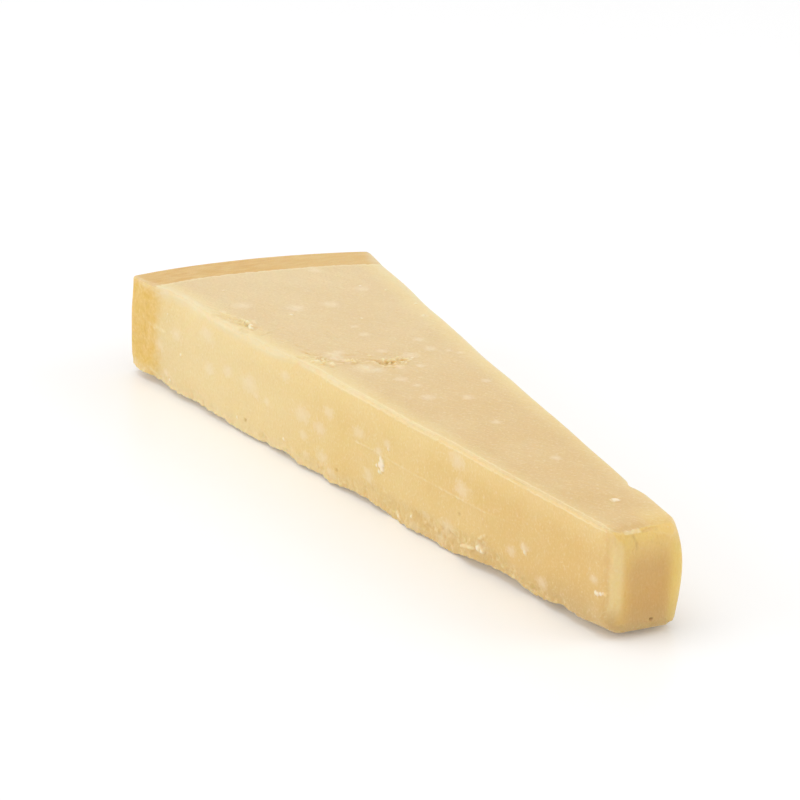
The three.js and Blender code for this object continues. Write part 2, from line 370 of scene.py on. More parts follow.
def hump(distance):
    """One in the middle of a feature, falling smoothly to nothing at its reach."""
    return 1 - smoothstep(np.abs(distance), 0, 1)


def uneven(kind, u, v):
    """A smooth uneven height at each place, between minus and plus the kind's height."""
    height, spacing, seed = kind
    return height * np.array([noise.noise((a, b, seed)) for a, b in zip(u / spacing, v / spacing)])


def lumpy(kind, x, y, z):
    """An uneven height made of rounded lumps, which run on from one face to the next."""
    height, spacing, seed = kind
    places = zip(x / spacing, y / spacing, z / spacing)
    return height * np.array([noise.turbulence((a, b, c + seed), LUMP_OCTAVES, True) for a, b, c in places])


def from_path(path, u, v):
    """Each place's distance from a path."""
    nearest = np.full(u.shape, np.inf)
    for (u0, v0), (u1, v1) in zip(path, path[1:]):
        run, rise = u1 - u0, v1 - v0
        share = np.clip(((u - u0) * run + (v - v0) * rise) / (run ** 2 + rise ** 2), 0, 1)
        nearest = np.minimum(nearest, np.hypot(u - u0 - share * run, v - v0 - share * rise))
    return nearest


def relief(torn, u, v):
    """How far a face's torn places and flakes stand below or above it."""
    wander = uneven(MARK_WANDER, u, v) / MARK_SIZE
    height = np.zeros(u.shape)
    for path, reach, depth in torn:
        height += depth * np.sqrt(hump(from_path(path, u, v) / reach + wander))
    return height * (1 + uneven(MARK_GRAIN, u, v))


def ground_reach(x, y):
    """How high broken ground may stand at each place."""
    highest = np.zeros(x.shape)
    for x0, y0, reach_x, reach_y, height in BROKEN_GROUND:
        highest = np.maximum(highest, height * hump(np.hypot((x - x0) / reach_x, (y - y0) / reach_y)))
    return highest


def ground_height(x, y):
    """How far broken ground stands up or lies low: lumps with sharp creases between them."""
    return ground_reach(x, y) * (lumpy(GROUND_LUMPS, x, y, 0 * x) - GROUND_LEVEL)


def closeness(spots, u, v, stretch=1):
    """One in the middle of a spot, half at its radius and nothing at twice that. Spots stretch along u."""
    apart = [np.hypot((u - u0) / stretch, v - v0) / (2 * radius) for u0, v0, radius in spots]
    return np.clip(1 - np.min(apart, axis=0), 0, 1)


def outside(spots, u, v):
    """Each place's distance from the nearest outline of some spots, and far where there are none."""
    apart = [np.hypot(u - u0, v - v0) - radius for u0, v0, radius in spots]
    return np.min([np.full(u.shape, FAR), *apart], axis=0)


def from_marks(torn, crumbs, u, v):
    """Each place's distance from the nearest of a face's torn places, flakes and crumbs."""
    apart = [from_path(path, u, v) - reach for path, reach, _ in torn]
    return np.min([outside(crumbs, u, v), *apart], axis=0)


def half_width(x):
    share = np.clip((x - HEEL_X) / LENGTH, 0, 1)
    return (HEEL_WIDTH + (TIP_WIDTH - HEEL_WIDTH) * share) / 2


def heel_offset(y):
    across_heel = 2 * y / HEEL_WIDTH
    return HEEL_SKEW / 2 * across_heel - HEEL_SAGITTA * (1 - across_heel ** 2)


def broken_side(x, y, up):
    """How far the broken lower edge of a side stands out."""
    return uneven(BREAKAGE, x, y) * BREAKAGE_IN_SIDES * (1 - smoothstep(up, 0, BREAKAGE_SHARE_OF_HEIGHT))


def front_face(x, up):
    """How far the -Y face stands out, at a share of the height."""
    worn = sum(depth * hump((x - middle) / reach) for middle, reach, depth in WORN_EDGE)
    swell = uneven(SIDE_SWELL, x, up * THICKNESS)
    return swell - worn * smoothstep(up, WORN_FROM, 1) + broken_side(x, 0 * x, up)


def back_face(x, up):
    """How far the +Y face stands out, at a share of the height."""
    notch = NOTCH_DEPTH * hump((x - NOTCH_X) / NOTCH_REACH)
    belly = STUB_SHOULDER + (STUB_BULGE - STUB_SHOULDER) * np.sin(math.pi * np.clip(up, 0, 1))
    belly = belly - STUB_TUCK * up ** 4 - STUB_UNDERCUT * (1 - smoothstep(up, 0, STUB_FOOT))
    stub = belly * smoothstep(x, STUB_STARTS, STUB_ENDS)
    swell = SHARE_OF_SWELL_BEHIND * uneven(SIDE_SWELL, x, LENGTH + up * THICKNESS)
    outward = swell - notch + stub - np.interp(x, *BACK_HOLLOW)
    return outward + broken_side(x, 0 * x + HEEL_WIDTH, up)


def rounded_off(from_edge, radius):
    """How far a face falls away where it rounds off into an edge."""
    into_corner = np.clip(1 - from_edge / radius, 0, 1)
    return radius * (1 - np.sqrt(1 - into_corner ** 2))


def top_height(x, y):
    from_heel = x - HEEL_X - heel_offset(y)
    rind_drop = RIND_DROP * np.clip(1 - from_heel / RIND_DEPTH, 0, 1)
    worn = smoothstep(from_heel, RIND_DEPTH / 2, 1.5 * RIND_DEPTH)
    worn *= (1 - smoothstep(x, HEEL_X / 2, WORN_UNTIL)) * rounded_off(half_width(x) + y, WORN_RADIUS)
    return THICKNESS + uneven(TOP_SWELL, x, y) - rind_drop - worn


def underside_height(x, y):
    outward = smoothstep(np.abs(y) / half_width(x), FLAT_SHARE_OF_WIDTH, 1)
    heelward = smoothstep(-x, -HEEL_RISE_STARTS, -HEEL_RISE_ENDS)
    tipward = smoothstep(x, TIP_RISE_STARTS, TIP_RISE_ENDS)
    tipmost = smoothstep(x, TIP_DROP_STARTS, TIP_DROP_ENDS)
    breakage = uneven(BREAKAGE, x, y)
    rise = HEEL_RISE * heelward + TIP_RISE * tipward + BROKEN_EDGE_RISE * outward * (1 - tipward)
    broken = rise + breakage * np.maximum(np.maximum(outward, heelward), tipward)
    broken = np.maximum(0, broken - (TIP_DROP + SMOOTHER_AT_TIP_BY * breakage) * tipmost)
    front = broken * (1 - outward) + np.interp(x, *LOWER_EDGE) * outward
    corner = rounded_off(half_width(x) - np.abs(y), np.where(y < 0, *LOWER_CORNER_RADII))
    corner *= smoothstep(x, LOWER_CORNER_STARTS, LOWER_CORNER_ENDS)
    return np.where(y < 0, front, broken) + corner


# Modelling steps


# A push that is smaller than this moves nothing that shows
SMALLEST_PUSH = 0.0001 * MM


def deselect_all():
    bpy.ops.object.select_all(action="DESELECT")


def work_on(piece):
    deselect_all()
    piece.select_set(True)
    bpy.context.view_layer.objects.active = piece


def open_with(piece, kind, chosen):
    """Opens a piece in edit mode with only the chosen points, edges or faces selected."""
    work_on(piece)
    parts = {"VERT": piece.data.vertices, "EDGE": piece.data.edges, "FACE": piece.data.polygons}
    for part_kind, part in parts.items():
        part.foreach_set("select", chosen if part_kind == kind else np.zeros(len(part), bool))
    bpy.context.tool_settings.mesh_select_mode = [part_kind == kind for part_kind in parts]
    bpy.ops.object.mode_set(mode="EDIT")


def close_edit():
    bpy.ops.object.mode_set(mode="OBJECT")


def read(parts, name, size):
    """One array for each component of a value of a mesh's points or faces."""
    flat = np.empty(len(parts) * size)
    parts.foreach_get(name, flat)
    return flat.reshape(-1, size).T.copy()


def points(piece):
    return read(piece.data.vertices, "co", 3)


def edge_ends(piece):
    """The two points of each edge, by number."""
    ends = np.empty(len(piece.data.edges) * 2, int)
    piece.data.edges.foreach_get("vertices", ends)
    return ends.reshape(-1, 2).T


def spans(piece, axis):
    """How far each edge runs along an axis."""
    first, second = points(piece)[axis][edge_ends(piece)]
    return np.abs(first - second)


def divide(piece, chosen, cuts):
    """Divides the chosen edges, and the faces between them."""
    open_with(piece, "EDGE", chosen)
    bpy.ops.mesh.subdivide(number_cuts=cuts, smoothness=0)
    close_edit()


def apply_modifier(piece, modifier):
    work_on(piece)
    bpy.ops.object.modifier_apply(modifier=modifier.name)


def push(piece, direction, depths):
    """Moves each point by its own depth: the depths are painted as weights, and a Displace follows them."""
    for sign in (1, -1):
        shares = np.clip(depths * sign, 0, None)
        peak = float(shares.max())
        if peak < SMALLEST_PUSH:
            continue
        group = piece.vertex_groups.new(name="push")
        for index in np.nonzero(shares)[0]:
            group.add([int(index)], float(shares[index] / peak), "REPLACE")
        modifier = piece.modifiers.new("push", "DISPLACE")
        modifier.direction = direction
        modifier.mid_level = 0
        modifier.strength = sign * peak
        modifier.vertex_group = group.name
        apply_modifier(piece, modifier)
        piece.vertex_groups.clear()


def paint(piece, name, values):
    """Paints a share on each point, for the material to colour."""
    layer = piece.data.attributes.new(name, "FLOAT", "POINT")
    layer.data.foreach_set("value", np.clip(values, 0, 1))


# The chunk


def cut_block():
    """The slice as it is sawn: a block that narrows to the tip."""
    deselect_all()
    bpy.ops.mesh.primitive_cube_add(size=1, location=(MIDDLE_X, 0, THICKNESS / 2))
    piece = bpy.context.object
    piece.name = "cheese"
    piece.scale = (LENGTH, HEEL_WIDTH, THICKNESS)
    bpy.ops.object.transform_apply(location=True, rotation=True, scale=True)
    open_with(piece, "VERT", points(piece)[0] > MIDDLE_X)
    bpy.ops.transform.resize(value=(1, TIP_WIDTH / HEEL_WIDTH, 1), center_override=(TIP_X, 0, 0))
    close_edit()
    return piece


def soften_edges(piece):
    """Rounds every edge: those of the tip most, and those of the broken underside least."""
    weights = piece.data.attributes.new("bevel_weight_edge", "FLOAT", "EDGE")
    for edge in piece.data.edges:
        ends = [piece.data.vertices[i].co for i in edge.vertices]
        if all(end.x > MIDDLE_X for end in ends):
            radius = TIP_RADIUS
        elif all(end.x < MIDDLE_X and end.y > 0 for end in ends):
            radius = BACK_CORNER_RADIUS
        elif all(end.z < THICKNESS / 2 for end in ends):
            radius = BROKEN_EDGE_RADIUS
        else:
            radius = EDGE_RADIUS
        weights.data[edge.index].value = radius / TIP_RADIUS
    bevel = piece.modifiers.new("soft_edges", "BEVEL")
    bevel.limit_method = "WEIGHT"
    bevel.width = TIP_RADIUS
    bevel.segments = EDGE_SEGMENTS
    bevel.use_clamp_overlap = False
    apply_modifier(piece, bevel)


def divide_faces(piece):
    """Divides the faces into a grid whose lines run with the edges."""
    divide(piece, spans(piece, 0) > LENGTH / 2, CUTS_ALONG)
    divide(piece, spans(piece, 0) > LENGTH / CUTS_ALONG / 2, CUTS_ALONG_AGAIN)
    divide(piece, spans(piece, 1) > TIP_WIDTH / 4, CUTS_ACROSS)
    divide(piece, spans(piece, 2) > THICKNESS / 2, CUTS_UP)


def keep_block_places(piece):
    """Keeps where each point was in the block, which still tells the faces apart once it's bent."""
    kept = piece.data.attributes.new("block_place", "FLOAT_VECTOR", "POINT")
    kept.data.foreach_set("vector", points(piece).T.ravel())


def bend_and_break(piece):
    """Bends the heel to the rim and makes the faces uneven."""
    x, y, z = points(piece)
    up = z / THICKNESS
    toward_side = np.abs(y) / half_width(x)
    side = np.where(y < 0, -front_face(x, up), back_face(x, up)) * toward_side
    heelward = (TIP_X - x) / LENGTH
    lean = HEEL_LEAN * np.sin(HEEL_LEAN_ARC * up)
    leaning = lean * (0.5 - y / HEEL_WIDTH) * smoothstep(heelward, 0.5, 1)
    push(piece, "X", heel_offset(y) * heelward + leaning)
    push(piece, "Y", side)
    x, y, z = points(piece)
    low, high = underside_height(x, y), top_height(x, y)
    push(piece, "Z", low + (high - low) * up - z)


class Faces:
    """Which face of the block each point belongs to, and how deep it lies behind every face."""

    def __init__(self, piece):
        x, y, z = read(piece.data.attributes["block_place"].data, "vector", 3)
        self.behind_front = half_width(x) + y
        self.behind_back = half_width(x) - y
        self.behind_top = THICKNESS - z
        self.behind_tip = TIP_X - x
        self.above_underside = z
        # A rounding counts with the tip's face where it has all but turned into it, then with the top
        self.tip = self.behind_tip < TIP_RADIUS / 5
        top_reach = np.where(self.behind_tip < TIP_RADIUS, TIP_RADIUS / 2, EDGE_RADIUS)
        self.top = ~self.tip & (self.behind_top < top_reach)
        self.front = ~self.tip & ~self.top & (self.behind_front < EDGE_RADIUS)
        # A point lies on one face, and its depth behind the next nearest is its distance from an edge
        depths = [self.behind_front, self.behind_back, self.behind_top, self.behind_tip]
        self.from_edge = np.sort(depths, axis=0)[1]

    def pick(self, top, front, tip=None, rest=0):
        """Each point's value on its own face, from those of the top, the -Y face, the tip and the rest."""
        tip = rest if tip is None else tip
        return np.select([self.top, self.front, self.tip], [top, front, tip], rest)


def fine_reach(piece, faces):
    """How far each point is from what has fine relief, and from the pale spots."""
    x, y, z = points(piece)
    fine = faces.pick(
        top=from_marks(TORN_TOP, TOP_CRUMBS, x, y),
        front=from_marks(TORN_FRONT, FRONT_CRUMBS, x, z),
        tip=from_marks(TORN_TIP, [], y, z),
        rest=FAR,
    )
    fine = np.where(faces.top & (ground_reach(x, y) > GROUND_SHOWS_FROM), 0, fine)
    on_edge = np.maximum(np.abs(faces.behind_front), np.abs(faces.behind_top)) - EDGE_RIDGE_PLACE
    fine = np.minimum(fine, np.where(x > EDGE_RIDGES_START, on_edge, FAR))
    spots = faces.pick(top=outside(TOP_SPOTS, x, y), front=outside(FRONT_SPOTS, x, z), rest=FAR)
    return fine, spots


def refine(piece, longest, near_marks, near_spots, behind_sides):
    """Halves the edges longer than this near the marks and spots, and near the sides where they crumble."""
    faces = Faces(piece)
    fine, spots = fine_reach(piece, faces)
    places = points(piece)
    crumbly = faces.above_underside < np.interp(places[0], *CRUMBLE_REACH) + CRUMBLE_FADE
    crumbly &= np.minimum(faces.behind_front, faces.behind_back) < behind_sides
    wanted = (fine < near_marks) | (spots < near_spots) | crumbly
    first, second = edge_ends(piece)
    lengths = np.linalg.norm(places[:, first] - places[:, second], axis=0)
    divide(piece, (wanted[first] | wanted[second]) & (lengths > longest), 1)


def crumble_underside(piece):
    """Breaks the underside and the lower edges into lumps, and sets them down on the floor again."""
    x, y, z = points(piece)
    reach = np.interp(x, *CRUMBLE_REACH)
    crumbly = 1 - smoothstep(Faces(piece).above_underside, reach, reach + CRUMBLE_FADE)
    lumps = lumpy(CRUMBLE_COARSE, x, y, z) + lumpy(CRUMBLE_FINE, x, y, z)
    push(piece, "NORMAL", -lumps * crumbly)
    push(piece, "Z", np.clip(-points(piece)[2], 0, None))
    paint(piece, "crumbly", crumbly)


def edge_ridges(faces, x):
    """One on each of the two ridges of the upper -Y edge, falling to nothing beside them."""
    wander = RIDGES_WANDER_BY * uneven(MARK_WANDER, x, 0 * x)
    on_top = hump((faces.behind_front - EDGE_RIDGE_PLACE + wander) / EDGE_RIDGE_REACH)
    on_front = hump((faces.behind_top - EDGE_RIDGE_PLACE + wander) / EDGE_RIDGE_REACH)
    on_top *= faces.behind_top < EDGE_RADIUS / 2
    on_front *= faces.behind_front < EDGE_RADIUS / 2
    return (on_top + on_front) * smoothstep(x, EDGE_RIDGES_START, EDGE_RIDGES_RISEN)


def tear_faces(piece):
    """Tears the marks into the faces, and paints the deep places for painted shade, and those that stand up
    and the ridges for painted highlights.
    """
    x, y, z = points(piece)
    faces = Faces(piece)
    torn = faces.pick(
        top=relief(TORN_TOP, x, y) + ground_height(x, y),
        front=relief(TORN_FRONT, x, z),
        tip=relief(TORN_TIP, y, z),
    )
    apart = faces.pick(top=outside(TOP_CRUMBS, x, y), front=outside(FRONT_CRUMBS, x, z), rest=FAR)
    apart += CRUMBS_WANDER_BY * uneven(MARK_WANDER, x, y + z)
    crumbs = CRUMB_HEIGHT * smoothstep(-apart, -CRUMB_FOOT, CRUMB_SHOULDER)
    ridges = edge_ridges(faces, x)
    push(piece, "NORMAL", torn + crumbs + EDGE_RIDGE_HEIGHT * ridges)
    # Painted shade in the deep places, and a painted highlight on what stands up
    paint(piece, "crack_shade", -torn / SHADE_DARKEST_DEPTH)
    paint(piece, "lip_highlight", torn / HIGHLIGHT_PALEST_HEIGHT)
    # The ridges, which the material gives a painted highlight as well as their relief
    paint(piece, "ridges", ridges)


def hidden_spots(u, v, draw):
    """Spots drawn at random over a whole face, as (u, v, radius)."""
    low, high = np.array([u.min(), v.min()]), np.array([u.max(), v.max()])
    places = low + draw.random((HIDDEN_SPOTS, 2)) * (high - low)
    return np.column_stack([places, draw.uniform(*HIDDEN_SPOT_RADII, HIDDEN_SPOTS)])


def paint_spots(piece):
    """Paints the pale spots and the white crumbs."""
    x, y, z = points(piece)
    faces = Faces(piece)
    draw = np.random.default_rng(HIDDEN_SPOTS_SEED)
    behind, below = hidden_spots(x, z, draw), hidden_spots(x, y, draw)
    on_front = closeness(FRONT_SPOTS, x, z, FRONT_SPOT_STRETCH)
    spots = faces.pick(top=closeness(TOP_SPOTS, x, y), front=on_front)
    spots = np.maximum(spots, np.where(faces.behind_back < EDGE_RADIUS, closeness(behind, x, z), 0))
    spots = np.maximum(spots, np.where(faces.above_underside < EDGE_RADIUS / 2, closeness(below, x, y), 0))
    paint(piece, "spots", spots)
    paint(piece, "crumbs", faces.pick(top=closeness(TOP_CRUMBS, x, y), front=closeness(FRONT_CRUMBS, x, z)))


def paint_edges(piece):
    """Paints how near each point is to any edge, for the paler edges and their painted highlight, and on the
    top how near it is to its long edges, for a painted glow of light.
    """
    x = points(piece)[0]
    faces = Faces(piece)
    paint(piece, "edges", 1 - faces.from_edge / np.interp(x, *PALE_EDGE_REACH))
    beside = 1 - np.minimum(faces.behind_front, faces.behind_back) / np.interp(x, *TOP_GLOW_REACH)
    paint(piece, "glow_beside_edges", beside * (1 - smoothstep(faces.behind_top, 0, 2 * EDGE_RADIUS)))


def make_cheese():
    piece = cut_block()
    soften_edges(piece)
    divide_faces(piece)
    keep_block_places(piece)
    bend_and_break(piece)
    refine(piece, FINE_EDGE, near_marks=1.5 * MM, near_spots=0.5 * MM, behind_sides=6 * MM)
    refine(piece, FINEST_EDGE, near_marks=0.4 * MM, near_spots=0, behind_sides=0.1 * MM)
    crumble_underside(piece)
    tear_faces(piece)
    paint_spots(piece)
    paint_edges(piece)
    work_on(piece)
    bpy.ops.object.shade_smooth()
    return piece


# Materials


def shade(red, green, blue):
    """A colour as a shader takes it, from the one that a screen shows, in 255ths, by the sRGB curve."""
    def linear(value):
        value /= 255
        return value / 12.92 if value <= 0.04045 else ((value + 0.055) / 1.055) ** 2.4
    return (linear(red), linear(green), linear(blue), 1)


class Recipe:
    """Builds a material step by step. Each step is fed by numbers, colours or the results of others."""

    def __init__(self, name):
        self.material = bpy.data.materials.new(name)
        self.material.use_nodes = True
        self.tree = self.material.node_tree
        self.shader = self.tree.nodes["Principled BSDF"]
        places = self.step("ShaderNodeTexCoord", {}).outputs
        self.place = places["Object"]
        self.x, self.y, self.z = self.split(self.place)
        self.facing_x, self.facing_y, self.facing_z = self.split(places["Normal"])

    def feed(self, socket, value):
        if isinstance(value, bpy.types.NodeSocket):
            self.tree.links.new(value, socket)
        else:
            socket.default_value = value

    def step(self, kind, feeds, **settings):
        node = self.tree.nodes.new(kind)
        for name, value in settings.items():
            setattr(node, name, value)
        for socket, value in feeds.items():
            self.feed(node.inputs[socket], value)
        return node

    def math(self, operation, first, second=0.0):
        return self.step("ShaderNodeMath", {0: first, 1: second}, operation=operation).outputs[0]

    def plus(self, *terms):
        return reduce(lambda total, term: self.math("ADD", total, term), terms)

    def minus(self, first, second):
        return self.math("SUBTRACT", first, second)

    def times(self, *factors):
        return reduce(lambda product, factor: self.math("MULTIPLY", product, factor), factors)

    def split(self, vector):
        return self.step("ShaderNodeSeparateXYZ", {0: vector}).outputs

    def spread(self, value, low, high, to=(0.0, 1.0)):
        """Turns the range from low to high into another, smoothly, and holds it beyond."""
        feeds = {"Value": value, "From Min": low, "From Max": high, "To Min": to[0], "To Max": to[1]}
        return self.step("ShaderNodeMapRange", feeds, interpolation_type="SMOOTHSTEP").outputs[0]

    def share(self, value, low, high, most):
        """Rises smoothly from nothing at low to the most at high."""
        return self.spread(value, low, high, to=(0.0, most))

    def mix(self, share, first, second, most=1.0):
        """Turns the first colour into the second by a share, and at most by this much."""
        share = share if most == 1.0 else self.times(share, most)
        feeds = {0: share, 6: first, 7: second}
        return self.step("ShaderNodeMix", feeds, data_type="RGBA").outputs[2]

    def grain(self, size, detail, turn=0, stretch=None):
        """Soft noise between 0 and 1, mostly near a half. Its patches are about this size, and where they
        are stretched along X, Y and Z, the stretch is turned about Z."""
        place = self.place
        if stretch:
            feeds = {"Vector": place, "Rotation": (0, 0, turn), "Scale": stretch}
            place = self.step("ShaderNodeMapping", feeds, vector_type="TEXTURE").outputs[0]
        feeds = {"Vector": place, "Scale": 1 / size, "Detail": detail}
        return self.step("ShaderNodeTexNoise", feeds).outputs[0]

    def wobble(self, size, detail):
        """Grain between minus and plus a half."""
        return self.minus(self.grain(size, detail), 0.5)

    def specks(self, spacing):
        """Points about this far apart: the distance from the nearest, and a number drawn for it."""
        speck = self.step("ShaderNodeTexVoronoi", {"Vector": self.place, "Scale": 1 / spacing})
        return speck.outputs["Distance"], self.split(speck.outputs["Color"])[0]

    def painted(self, name):
        return self.step("ShaderNodeAttribute", {}, attribute_name=name).outputs["Fac"]

    def bump(self, height, distance):
        feeds = {"Height": height, "Distance": distance, "Strength": 1.0}
        return self.step("ShaderNodeBump", feeds).outputs[0]

    def finish(self, feeds):
        """Feeds the shader, and gives the material."""
        for socket, value in feeds.items():
            self.feed(self.shader.inputs[socket], value)
        return self.material


# Colours of the cheese
# The top is greyer than the sides: a painted sheen on what faces up
TOP_AT_HEEL = shade(225, 199, 153)
TOP_AT_TIP = shade(219, 184.5, 128)
# A painted glow of light on the top beside its long edges
TOP_GLOW_BESIDE_EDGES = shade(238, 216, 157)
TOP_AT_TIP_CORNER = shade(231, 199, 130)
SIDE_AT_HEEL = shade(228, 203.5, 148)
SIDE_PALEST = shade(233.5, 210, 154.5)
SIDE_AT_MIDDLE = shade(229, 198, 130)
SIDE_AT_TIP = shade(225, 188, 119)
# Painted light on the upper part of the sides, and painted shade low down on them
SIDE_LIT_ABOVE = shade(241, 215, 152)
SIDE_SHADED_BELOW = shade(200, 165, 110)
# The middle of the tip's face is darker: painted shade on what faces +X
TIP_FACE_SHADED = shade(217, 172, 98)
TIP_FACE_LOW = shade(220, 177, 111)
# Painted shade low down near the tip
TIP_SHADED_BELOW = shade(195, 169, 119)
# Painted light on the sides of the tip's face
TIP_FACE_LIT_SIDES = shade(240, 202, 118)
TIP_FACE_ABOVE = shade(240, 207, 127)
# A painted highlight down the tip's upright -Y corner, and golden painted light on its +Y corner
TIP_CORNER_HIGHLIGHT = shade(244, 220, 158)
TIP_GOLDEN_CORNER = shade(231, 197, 104)
PALE_CHEESE = shade(243, 226, 184)
# Paler cheese along the edges, partly a painted highlight
PALE_EDGE_AND_HIGHLIGHT = shade(231, 218, 184)
SPOT = shade(240, 222, 192)
CRUMB = shade(244, 234, 212)
TOP_CRUMB = shade(243, 230, 203)
# Darker grain and painted shade in torn places, then painted shade in the tip's torn places
DARK_GRAIN_AND_CRACK_SHADE = shade(213, 176, 117)
TIP_CRACK_SHADE = shade(150, 95, 30)
CRUMBLY_CHEESE = shade(220, 190, 130)
CRUMBLY_AT_HEEL = shade(234, 213, 168)
CRUMBLY_FLAKE = shade(238, 218, 168)
TOP_RIND = shade(214, 170, 102)
TOP_RIND_STREAK = shade(222, 187, 125)
RIND_SKIN = shade(214, 168, 94)
SIDE_RIND = shade(225, 186.5, 95)
SIDE_RIND_PALE = shade(229, 194, 118)
SIDE_RIND_SPECK = shade(206, 162, 78)
SIDE_RIND_FLECK = shade(240, 208, 150)


# Which way a face looks, by its normal: each pair is from not counting as such to counting fully. What
# looks up counts as the tip's face too, by a share of that.
LEVEL_FACING = (0.6, 0.85)
TIP_FACING = (0.75, 1.0)
TIP_FACING_BY_TILT = 0.4
# The tip's upright corners, where light is painted, are found by the normal
TIP_CORNER_ALONG, TIP_CORNER_ASIDE = (0.46, 0.75), (0.14, 0.45)
TIP_CRACK_SHADE_FACING = (0.6, 0.9)
ROUGHER_FACING, SMOOTHEST_ON_TIP = (0.9, 0.7), 0.35
SKIN_FACING = (-0.6, -0.85)

# Where the colours change: each pair is from where a change begins to where it's complete
SIDE_PALEST_X, SIDE_MIDDLE_X = -55 * MM, 0.0
# Where painted light falls on the upper sides, and where painted shade lies towards their lower edge, higher
# near the tip
SIDE_LIT_UP = (18 * MM, 26 * MM)
SIDE_SHADE_ALONG = (-20 * MM, 60 * MM)
SHADE_HIGHER_ALONG, SHADE_FROM_HEIGHT = (70 * MM, 95 * MM), (9 * MM, 15 * MM)
TOP_GLOW_FADE_ALONG = (0.0, 80 * MM)
TOP_CORNER_ALONG, TOP_CORNER_ACROSS = (90 * MM, 101 * MM), (-1 * MM, 5 * MM)
TIP_MIDDLE_FROM_FRONT, TIP_MIDDLE_FROM_BACK = (-6.6 * MM, -1.6 * MM), (10 * MM, 5 * MM)
TIP_SIDES_ACROSS = (0.0, 5 * MM)
TIP_LOW_DOWN, TIP_HIGH_UP = (14 * MM, 4 * MM), (16 * MM, 25.5 * MM)
GOLD_ACROSS, GOLD_UP = (0.0, -5 * MM), (16 * MM, 21 * MM)
# Where the painted highlight runs up the tip's -Y corner, and where the painted light on its +Y corner fades
# out above
HIGHLIGHT_CORNER_UP, HIGHLIGHT_CORNER_DOWN = (4 * MM, 9 * MM), (28 * MM, 20 * MM)
LIT_GOLDEN_CORNER_DOWN = (25 * MM, 19 * MM)
# Where painted shade lies low down near the tip
SHADE_UNDER_TIP_ALONG, SHADE_UNDER_TIP_DOWN = (70 * MM, 90 * MM), (12 * MM, 0.0)
CRUMBLY_ALONG = (-30 * MM, 30 * MM)
EDGES_FADE_ALONG = (-20 * MM, 60 * MM)
RIND_PALER_ACROSS = (-5 * MM, 25 * MM)

# Grains: the size of the patches, how much finer detail they have, and how they are turned and stretched
SLOW_PATCHES = (16 * MM, 3)
EDGE_PATCHES = (5 * MM, 3)
CRUMBLY_FLAKES = (1.4 * MM, 4)
MARK_OUTLINES = (1.2 * MM, 4)
FINE_GRAIN = (0.6 * MM, 4)
TOP_STREAKS = (0.6 * MM, 3, math.radians(31.4), (7, 1, 1))
TOP_RIPPLES = (1.6 * MM, 2, math.radians(14), (5, 1, 1))
SIDE_STROKES = (0.35 * MM, 3, 0, (1, 1, 4))
EDGE_WEAR = (0.5 * MM, 3, math.radians(6.8), (9, 1, 1))
RIND_BANDS = (1.3 * MM, 4, 0, (1, 4, 4))
RIND_PATCHES = (1.8 * MM, 5, 0, (1, 1, 1.4))
RIND_FLECKS = (0.9 * MM, 4)
SPECK_SPACING = 2.4 * MM
SPOTS_RAGGED_BY, CRUMBS_RAGGED_BY = 0.8, 1.1
BUMP_DEPTH = 0.2 * MM

# The rind's inner bound: it wanders and lies deeper on the upright faces, is ragged and softly blurred
# everywhere, most of all on the upright faces, and has a pale line beside it on the top
RIND_WANDER, RIND_WANDERS_BY, RIND_DEEPER_BY = (2.5 * MM, 3), 5 * MM, 5 * MM
RIND_RAGS, RIND_RAGGED_BY = (1.5 * MM, 4), 2 * MM
RIND_BLUR, RIND_UPRIGHT_BLUR, RIND_LINE = 0.5 * MM, 6.5 * MM, 1 * MM


def rind_shares(recipe, level):
    """Two shares by the distance from the rim: how far a place is in the rind, and in its pale line."""
    from_centre_x = recipe.minus(recipe.x, RIM_CENTRE[0])
    from_centre_y = recipe.minus(recipe.y, RIM_CENTRE[1])
    squares = recipe.plus(recipe.math("POWER", from_centre_x, 2.0), recipe.math("POWER", from_centre_y, 2.0))
    from_rim = recipe.minus(RIM_RADIUS, recipe.math("SQRT", squares))
    upright = recipe.minus(1.0, level)
    wander = recipe.minus(recipe.times(recipe.wobble(*RIND_WANDER), RIND_WANDERS_BY), RIND_DEEPER_BY)
    rags = recipe.times(recipe.wobble(*RIND_RAGS), RIND_RAGGED_BY)
    from_rim = recipe.plus(from_rim, recipe.times(wander, upright), rags)
    blur = recipe.plus(RIND_BLUR, recipe.times(upright, RIND_UPRIGHT_BLUR))
    rind = recipe.spread(from_rim, recipe.minus(RIND_DEPTH, blur), RIND_DEPTH, to=(1.0, 0.0))
    line = recipe.times(recipe.spread(from_rim, RIND_DEPTH + RIND_LINE, RIND_DEPTH), level)
    return rind, line


def rind_colour(recipe, level):
    """Soft streaks along the top, soft patches on the sides, and a plain skin outside."""
    patches = recipe.grain(*RIND_PATCHES)
    flecks = recipe.grain(*RIND_FLECKS)
    top = recipe.mix(recipe.spread(recipe.grain(*RIND_BANDS), 0.25, 0.75), TOP_RIND, TOP_RIND_STREAK)
    top = recipe.mix(recipe.share(recipe.y, *RIND_PALER_ACROSS, most=0.5), top, TOP_RIND_STREAK)
    side = recipe.mix(recipe.spread(patches, 0.3, 0.7), SIDE_RIND, SIDE_RIND_PALE)
    side = recipe.mix(recipe.share(flecks, 0.5, 0.25, most=0.4), side, SIDE_RIND_SPECK)
    side = recipe.mix(recipe.share(flecks, 0.5, 0.75, most=0.6), side, SIDE_RIND_FLECK)
    skin = recipe.mix(recipe.share(patches, 0.3, 0.7, most=0.4), RIND_SKIN, TOP_RIND_STREAK)
    side = recipe.mix(recipe.spread(recipe.facing_x, *SKIN_FACING), side, skin)
    return recipe.mix(level, side, top)


